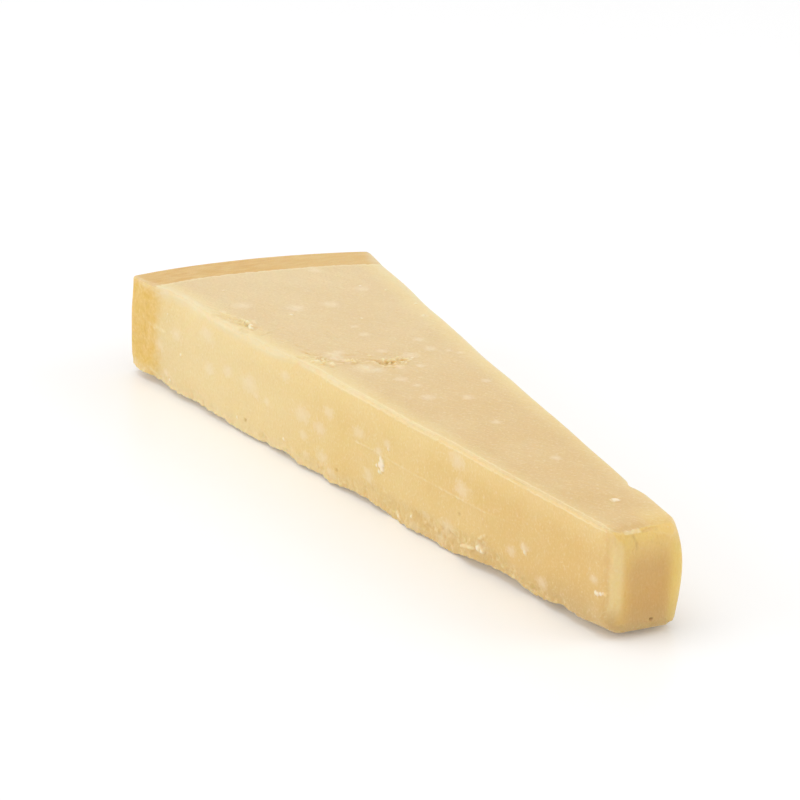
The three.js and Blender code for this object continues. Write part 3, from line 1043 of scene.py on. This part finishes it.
def side_colour(recipe):
    """Palest near the heel and golden towards the tip, with painted light above and painted shade towards
    the lower edge.
    """
    side = recipe.mix(recipe.spread(recipe.x, HEEL_X, SIDE_PALEST_X), SIDE_AT_HEEL, SIDE_PALEST)
    side = recipe.mix(recipe.spread(recipe.x, SIDE_PALEST_X, SIDE_MIDDLE_X), side, SIDE_AT_MIDDLE)
    side = recipe.mix(recipe.spread(recipe.x, SIDE_MIDDLE_X, TIP_X), side, SIDE_AT_TIP)
    # Painted light towards the top of the side
    side = recipe.mix(recipe.share(recipe.z, *SIDE_LIT_UP, most=0.5), side, SIDE_LIT_ABOVE)
    # Painted shade towards the lower edge, reaching higher near the tip
    shade_from = recipe.spread(recipe.x, *SHADE_HIGHER_ALONG, to=SHADE_FROM_HEIGHT)
    below = recipe.share(recipe.z, shade_from, 0.0, most=0.45)
    below = recipe.times(below, recipe.spread(recipe.x, *SIDE_SHADE_ALONG))
    return recipe.mix(below, side, SIDE_SHADED_BELOW)


def top_colour(recipe):
    """Paler at the heel, partly by its own tone and partly by painted light, with a painted glow of light
    beside the long edges, and paler at the tip's +Y corner.
    """
    # From heel to tip, partly the cheese's own tone and partly painted light
    top = recipe.mix(recipe.spread(recipe.x, HEEL_X, TIP_X), TOP_AT_HEEL, TOP_AT_TIP)
    # A painted glow of light beside the long edges, fainter towards the tip
    beside = recipe.spread(recipe.x, *TOP_GLOW_FADE_ALONG, to=(0.75, 0.4))
    beside = recipe.times(beside, recipe.spread(recipe.painted("glow_beside_edges"), 0.0, 1.0))
    top = recipe.mix(beside, top, TOP_GLOW_BESIDE_EDGES)
    along, across = recipe.spread(recipe.x, *TOP_CORNER_ALONG), recipe.spread(recipe.y, *TOP_CORNER_ACROSS)
    return recipe.mix(recipe.times(along, across), top, TOP_AT_TIP_CORNER)


def tip_face_colour(recipe):
    """Brown in the middle of the tip's face, as painted shade, and golden beside it, as painted light on its
    sides, and above.
    """
    middle = recipe.spread(recipe.y, *TIP_MIDDLE_FROM_FRONT)
    middle = recipe.times(middle, recipe.spread(recipe.y, *TIP_MIDDLE_FROM_BACK))
    sides = recipe.mix(recipe.spread(recipe.y, *TIP_SIDES_ACROSS), TIP_FACE_LIT_SIDES, TIP_GOLDEN_CORNER)
    face = recipe.mix(recipe.spread(recipe.z, *TIP_LOW_DOWN), TIP_FACE_SHADED, TIP_FACE_LOW)
    tip = recipe.mix(middle, sides, face)
    tip = recipe.mix(recipe.spread(recipe.z, *TIP_HIGH_UP), tip, TIP_FACE_ABOVE)
    gold = recipe.times(recipe.share(recipe.y, *GOLD_ACROSS, most=0.35), recipe.spread(recipe.z, *GOLD_UP))
    return recipe.mix(gold, tip, TIP_GOLDEN_CORNER)


def tip_corner(recipe, aside):
    """One along an upright corner of the tip, where light is painted: the one on the side that this part of
    the normal tells.
    """
    along = recipe.spread(recipe.facing_x, *TIP_CORNER_ALONG)
    return recipe.times(along, recipe.spread(aside, *TIP_CORNER_ASIDE))


def base_colour(recipe, level):
    """The cheese's colour, with light and shade painted in by which way each face looks: the sides, the top
    with a painted sheen, the tip's face in painted shade and its corners in painted light, and its foot in
    painted shade.
    """
    # What faces up takes the top's greyer colour, a painted sheen
    colour = recipe.mix(level, side_colour(recipe), top_colour(recipe))
    # What faces +X takes the tip's darker colour, painted shade
    tipward = recipe.plus(recipe.facing_x, recipe.times(recipe.facing_z, TIP_FACING_BY_TILT))
    colour = recipe.mix(recipe.spread(tipward, *TIP_FACING), colour, tip_face_colour(recipe))
    # A painted highlight down the tip's upright -Y corner
    lit_front_corner = tip_corner(recipe, recipe.times(recipe.facing_y, -1.0))
    pale = recipe.share(recipe.z, *HIGHLIGHT_CORNER_UP, most=0.8)
    pale = recipe.times(pale, recipe.spread(recipe.z, *HIGHLIGHT_CORNER_DOWN))
    colour = recipe.mix(recipe.times(lit_front_corner, pale), colour, TIP_CORNER_HIGHLIGHT)
    # Golden painted light down the tip's upright +Y corner
    gold = recipe.times(tip_corner(recipe, recipe.facing_y), recipe.spread(recipe.z, *LIT_GOLDEN_CORNER_DOWN))
    colour = recipe.mix(gold, colour, TIP_GOLDEN_CORNER)
    # Painted shade low down near the tip, darkest at the floor
    below = recipe.share(recipe.z, *SHADE_UNDER_TIP_DOWN, most=0.5)
    below = recipe.times(below, recipe.spread(recipe.x, *SHADE_UNDER_TIP_ALONG))
    return recipe.mix(below, colour, TIP_SHADED_BELOW)


def with_grain(recipe, colour, drawn, fine):
    """Adds slow patches, drawn-out marks of the cut and fine grain, which is fainter on the tip."""
    patches = recipe.share(recipe.grain(*SLOW_PATCHES), 0.35, 0.65, most=0.12)
    colour = recipe.mix(patches, colour, PALE_CHEESE)
    colour = recipe.mix(recipe.share(drawn, 0.5, 0.8, most=0.15), colour, PALE_CHEESE)
    colour = recipe.mix(recipe.share(drawn, 0.5, 0.2, most=0.1), colour, DARK_GRAIN_AND_CRACK_SHADE)
    fainter = recipe.spread(recipe.facing_x, *ROUGHER_FACING, to=(SMOOTHEST_ON_TIP, 1.0))
    bright = recipe.times(recipe.share(fine, 0.5, 0.8, most=0.4), fainter)
    colour = recipe.mix(bright, colour, PALE_CHEESE)
    return recipe.mix(recipe.share(fine, 0.5, 0.2, most=0.2), colour, DARK_GRAIN_AND_CRACK_SHADE)


def with_spots(recipe, colour, outlines):
    """Adds the pale spots, with uneven outlines, and small specks all over."""
    spots = recipe.plus(recipe.painted("spots"), recipe.times(outlines, SPOTS_RAGGED_BY))
    colour = recipe.mix(recipe.share(spots, 0.12, 0.95, most=0.5), colour, SPOT)
    distance, draw = recipe.specks(SPECK_SPACING)
    specks = recipe.times(recipe.spread(distance, 0.22, 0.1), recipe.spread(draw, 0.5, 0.8))
    return recipe.mix(specks, colour, SPOT, most=0.2)


def with_crumbly_skin(recipe, colour):
    """Adds the broken skin of the underside, with paler flakes in it."""
    crumbly = recipe.painted("crumbly")
    broken = recipe.mix(recipe.spread(recipe.x, *CRUMBLY_ALONG), CRUMBLY_AT_HEEL, CRUMBLY_CHEESE)
    colour = recipe.mix(crumbly, colour, broken, most=0.4)
    flakes = recipe.share(recipe.grain(*CRUMBLY_FLAKES), 0.5, 0.7, most=0.6)
    return recipe.mix(recipe.times(flakes, crumbly), colour, CRUMBLY_FLAKE)


def with_pale_edges(recipe, colour, rind, wear):
    """Adds the paler cheese along the edges, partly a painted highlight: uneven, fainter towards the tip and
    a little so in the rind.
    """
    patchy = recipe.spread(recipe.grain(*EDGE_PATCHES), 0.3, 0.6, to=(0.7, 1.0))
    edge = recipe.times(
        recipe.spread(recipe.times(recipe.painted("edges"), patchy), 0.0, 1.0),
        recipe.spread(recipe.x, *EDGES_FADE_ALONG, to=(0.75, 0.33)),
        recipe.spread(wear, 0.3, 0.6, to=(0.6, 1.05)),
        recipe.minus(1.0, recipe.times(rind, 0.2)),
    )
    return recipe.mix(edge, colour, PALE_EDGE_AND_HIGHLIGHT)


def with_torn_places(recipe, colour, wear):
    """Adds painted shade in the torn places, by their depth, and painted highlights on what stands up and on
    the ridges.
    """
    # Painted shade in the torn places, by their depth, on the tip as well
    crack_shade_colour = recipe.mix(recipe.spread(recipe.facing_x, *TIP_CRACK_SHADE_FACING), DARK_GRAIN_AND_CRACK_SHADE, TIP_CRACK_SHADE)
    colour = recipe.mix(recipe.painted("crack_shade"), colour, crack_shade_colour)
    # A painted highlight on what stands up
    colour = recipe.mix(recipe.share(recipe.painted("lip_highlight"), 0.0, 1.0, most=0.7), colour, PALE_CHEESE)
    # A painted highlight along the ridges of the upper -Y edge, which stand up as relief too
    ridges = recipe.share(recipe.painted("ridges"), 0.1, 0.9, most=0.62)
    ridges = recipe.times(ridges, recipe.spread(wear, 0.35, 0.6, to=(0.5, 1.0)))
    return recipe.mix(ridges, colour, PALE_CHEESE)


def with_crumbs(recipe, colour, outlines, level):
    """Adds the white crumbs, with uneven outlines."""
    crumbs = recipe.plus(recipe.painted("crumbs"), recipe.times(outlines, CRUMBS_RAGGED_BY))
    crumbs = recipe.share(crumbs, 0.25, 0.8, most=0.9)
    return recipe.mix(crumbs, colour, recipe.mix(level, CRUMB, TOP_CRUMB))


def cheese_material():
    recipe = Recipe("cheese")
    level = recipe.spread(recipe.math("ABSOLUTE", recipe.facing_z), *LEVEL_FACING)
    fine = recipe.grain(*FINE_GRAIN)
    drawn = recipe.mix(level, recipe.grain(*SIDE_STROKES), recipe.grain(*TOP_STREAKS))
    wear = recipe.grain(*EDGE_WEAR)
    outlines = recipe.wobble(*MARK_OUTLINES)
    rind, line = rind_shares(recipe, level)

    colour = with_grain(recipe, base_colour(recipe, level), drawn, fine)
    colour = with_spots(recipe, colour, outlines)
    colour = recipe.mix(line, colour, PALE_CHEESE, most=0.4)
    colour = recipe.mix(rind, colour, rind_colour(recipe, level))
    colour = with_crumbly_skin(recipe, colour)
    colour = with_pale_edges(recipe, colour, rind, wear)
    colour = with_torn_places(recipe, colour, wear)
    colour = with_crumbs(recipe, colour, outlines, level)

    relief = recipe.plus(fine, recipe.times(recipe.grain(*TOP_RIPPLES), level), drawn)
    return recipe.finish({
        "Base Color": colour,
        "Normal": recipe.bump(relief, BUMP_DEPTH),
        "Roughness": 0.55,
        "IOR": 1.4,
        "Subsurface Weight": 1.0,
        "Subsurface Radius": (1.0, 0.7, 0.45),
        "Subsurface Scale": 1.0 * MM,
    })


def floor_material():
    return Recipe("studio_floor").finish({
        "Base Color": (0.9, 0.9, 0.9, 1),
        "Roughness": 0.35,
        "Emission Color": (1, 1, 1, 1),
        "Emission Strength": 0.1,
    })


# The studio


def make_floor():
    deselect_all()
    bpy.ops.mesh.primitive_plane_add(size=FLOOR_SIZE)
    floor = bpy.context.object
    floor.name = "studio_floor"
    floor.data.materials.append(floor_material())


def aim(thing, target, roll=0):
    """Turns a lamp or the camera to look at a point."""
    thing.rotation_euler = (target - thing.location).to_track_quat("-Z", "Y").to_euler()
    thing.rotation_euler.rotate_axis("Z", roll)


def make_camera():
    data = bpy.data.cameras.new("camera")
    data.lens = CAMERA_LENS
    data.sensor_width = CAMERA_SENSOR
    camera = bpy.data.objects.new("camera", data)
    bpy.context.collection.objects.link(camera)
    level = math.cos(CAMERA_ELEVATION)
    back = Vector((
        math.sin(CAMERA_AZIMUTH) * level,
        -math.cos(CAMERA_AZIMUTH) * level,
        math.sin(CAMERA_ELEVATION),
    ))
    camera.location = CAMERA_AIM + back * CAMERA_DISTANCE
    aim(camera, CAMERA_AIM, CAMERA_ROLL)
    bpy.context.scene.camera = camera


def add_softbox(name, place, power):
    data = bpy.data.lights.new(name, "AREA")
    data.shape = "SQUARE"
    data.size = SOFTBOX_SIZE
    data.energy = power
    lamp = bpy.data.objects.new(name, data)
    bpy.context.collection.objects.link(lamp)
    lamp.location = place
    aim(lamp, Vector((0, 0, 0)))


def light_studio():
    world = bpy.data.worlds.new("studio")
    bpy.context.scene.world = world
    world.use_nodes = True
    sky = world.node_tree.nodes["Background"]
    sky.inputs["Color"].default_value = (1, 1, 1, 1)
    sky.inputs["Strength"].default_value = DAYLIGHT
    for name, (place, power) in SOFTBOXES.items():
        add_softbox(name, place, power)
    bpy.context.scene.view_settings.view_transform = "Standard"


cheese = make_cheese()
cheese.data.materials.append(cheese_material())
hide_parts(NODE)
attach(cheese, "root")
make_floor()
make_camera()
light_studio()
